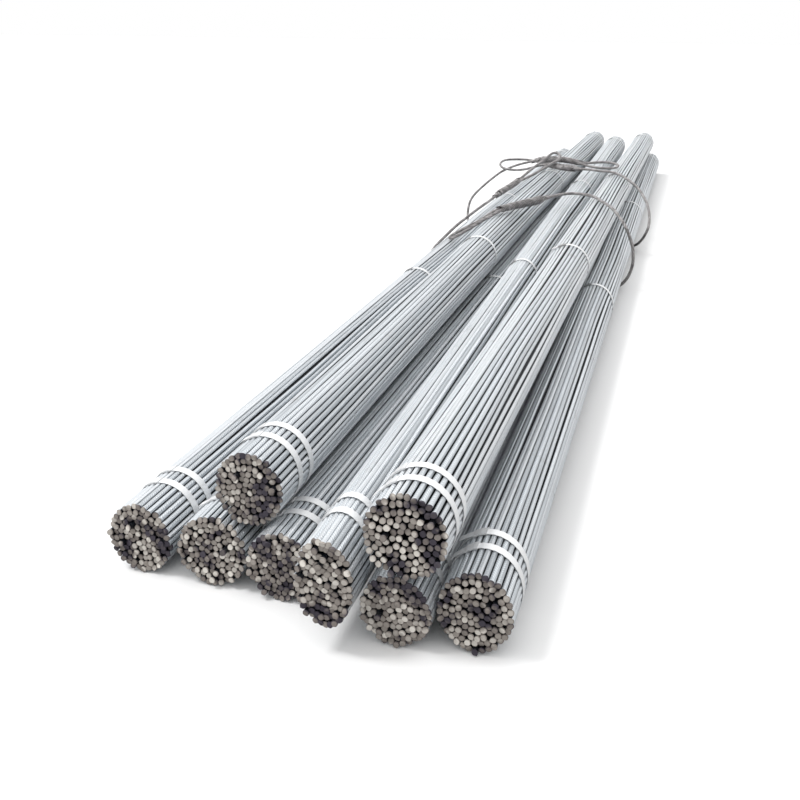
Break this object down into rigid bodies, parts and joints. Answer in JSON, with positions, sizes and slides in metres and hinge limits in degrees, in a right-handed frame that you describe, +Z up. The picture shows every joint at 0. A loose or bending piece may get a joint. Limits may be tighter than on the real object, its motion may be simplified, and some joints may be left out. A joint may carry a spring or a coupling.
{
  "type": "rebar bundle",
  "caption": "Pile of round bundles of ribbed steel reinforcing bar, each bound with flat steel straps, fanned out at one end, with spliced wire-rope slings lying slack round the other half",
  "frame": {"origin": "On the ground plane, under the middle of the pile's box", "axes": "+Z is up. +Y is along the bars, from the fanned ends with the paired straps to the gathered ends. +X is across the pile."},
  "size_m": [1.3861, 9.303, 0.6408],
  "materials": {
    "bar_steel": "hot-rolled ribbed bar, dull light grey mill surface, brown-grey sheared ends",
    "strap_steel": "bright galvanised flat strapping, lightly scuffed",
    "rope_steel": "dull greased wire rope with hand-spliced eyes"
  },
  "bodies": {
    "root": {"bundle_1": "bar_steel", "bundle_2": "bar_steel", "bundle_3": "bar_steel", "bundle_4": "bar_steel", "bundle_5": "bar_steel", "bundle_6": "bar_steel", "bundle_7": "bar_steel", "bundle_8": "bar_steel", "sling_front_eye_back": "rope_steel", "sling_front_eye_left": "rope_steel", "sling_front_rope": "rope_steel", "sling_rear_eye_left": "rope_steel", "sling_rear_eye_right": "rope_steel", "sling_rear_rope": "rope_steel", "strap_1_far": "strap_steel", "strap_1_near_back": "strap_steel", "strap_1_near_front": "strap_steel", "strap_1_third": "strap_steel", "strap_1_two_thirds": "strap_steel", "strap_2_far": "strap_steel", "strap_2_near_back": "strap_steel", "strap_2_near_front": "strap_steel", "strap_2_third": "strap_steel", "strap_2_two_thirds": "strap_steel", "strap_3_far": "strap_steel", "strap_3_near_back": "strap_steel", "strap_3_near_front": "strap_steel", "strap_3_third": "strap_steel", "strap_3_two_thirds": "strap_steel", "strap_4_far": "strap_steel", "strap_4_near_back": "strap_steel", "strap_4_near_front": "strap_steel", "strap_4_third": "strap_steel", "strap_4_two_thirds": "strap_steel", "strap_5_far": "strap_steel", "strap_5_near_back": "strap_steel", "strap_5_near_front": "strap_steel", "strap_5_third": "strap_steel", "strap_5_two_thirds": "strap_steel", "strap_6_far": "strap_steel", "strap_6_near_back": "strap_steel", "strap_6_near_front": "strap_steel", "strap_6_third": "strap_steel", "strap_6_two_thirds": "strap_steel", "strap_7_far": "strap_steel", "strap_7_near_back": "strap_steel", "strap_7_near_front": "strap_steel", "strap_7_third": "strap_steel", "strap_7_two_thirds": "strap_steel", "strap_8_far": "strap_steel", "strap_8_near_back": "strap_steel", "strap_8_near_front": "strap_steel", "strap_8_third": "strap_steel", "strap_8_two_thirds": "strap_steel"}
  },
  "joints": []
}
